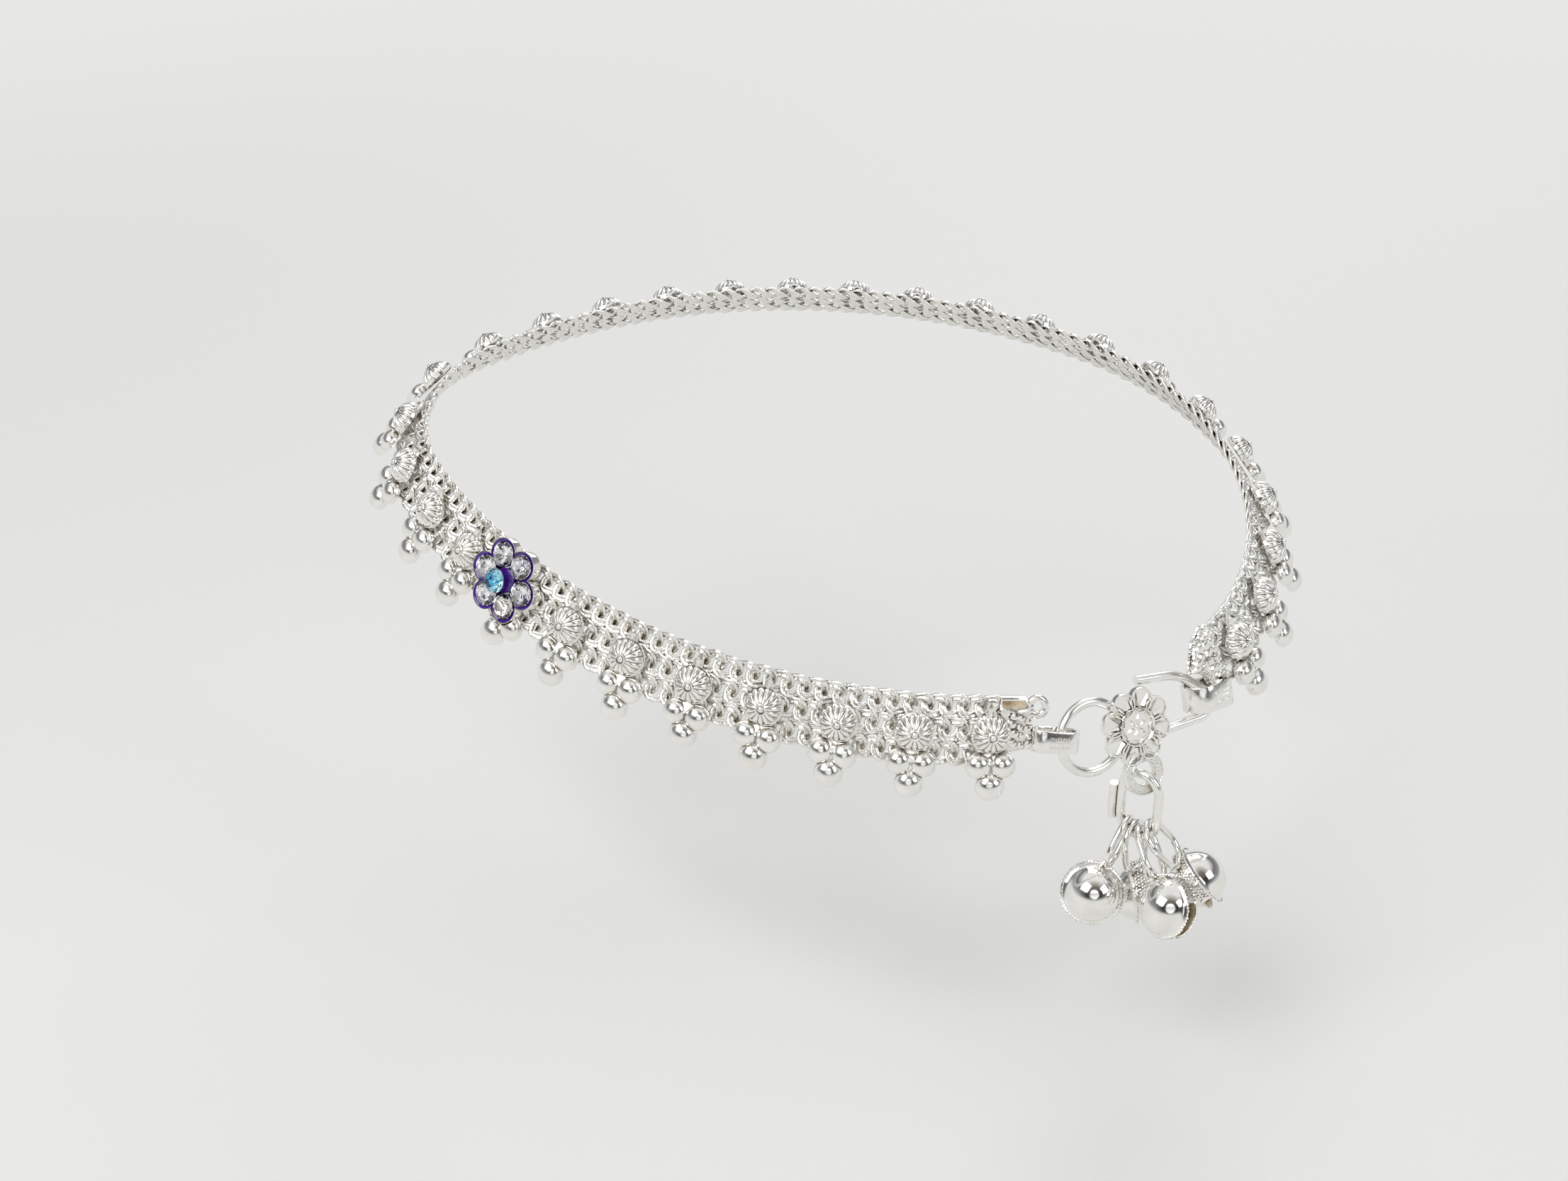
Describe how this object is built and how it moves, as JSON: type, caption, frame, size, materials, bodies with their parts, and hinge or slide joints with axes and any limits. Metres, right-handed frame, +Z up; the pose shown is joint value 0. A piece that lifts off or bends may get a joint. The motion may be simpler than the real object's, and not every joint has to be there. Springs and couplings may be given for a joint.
{
  "type": "payal anklet",
  "caption": "Silver payal anklet: a flared band of soldered curb chain rows with stamped drops, an enamelled stone flower, a flower S-hook clasp and a hanging bunch of ghungroo bells.",
  "frame": {"origin": "middle of the loop, where the ankle sits", "axes": "+Z up, +X towards the toes, -Y the side with the clasp"},
  "size_m": [0.1068, 0.0764, 0.0488],
  "materials": {
    "silver": "bright polished silver, slightly warm, darker in the recesses",
    "enamel": "deep violet glossy enamel",
    "clear_stone": "clear faceted stone",
    "blue_stone": "clear blue faceted stone"
  },
  "bodies": {
    "anklet": {"band": "silver", "clasp_hook": "silver", "drop_01": "silver", "drop_02": "silver", "drop_03": "silver", "drop_04": "silver", "drop_05": "silver", "drop_06": "silver", "drop_07": "silver", "drop_08": "silver", "drop_09": "silver", "drop_10": "silver", "drop_11": "silver", "drop_12": "silver", "drop_13": "silver", "drop_14": "silver", "drop_15": "silver", "drop_16": "silver", "drop_17": "silver", "drop_18": "silver", "drop_19": "silver", "drop_20": "silver", "drop_21": "silver", "drop_22": "silver", "drop_23": "silver", "drop_24": "silver", "drop_25": "silver", "drop_26": "silver", "drop_27": "silver", "drop_28": "silver", "drop_29": "silver", "drop_30": "silver", "end_cap_left": "silver", "end_cap_right": "silver", "flower_enamel": "enamel", "flower_setting": "silver", "flower_stone_1": "clear_stone", "flower_stone_2": "clear_stone", "flower_stone_3": "clear_stone", "flower_stone_4": "clear_stone", "flower_stone_5": "clear_stone", "flower_stone_6": "clear_stone", "flower_stone_centre": "blue_stone"},
    "bell_drop": {"jump_ring": "silver", "bell_1": "silver", "bell_2": "silver", "bell_3": "silver", "bell_4": "silver"}
  },
  "joints": [
    {"name": "bell_drop_swing", "type": "hinge", "parent": "anklet", "child": "bell_drop", "pos_m": [0.03694, -0.02568, -0.01732], "axis": [0.5664, -0.7581, 0.3232], "range_deg": [-45, 45]}
  ]
}
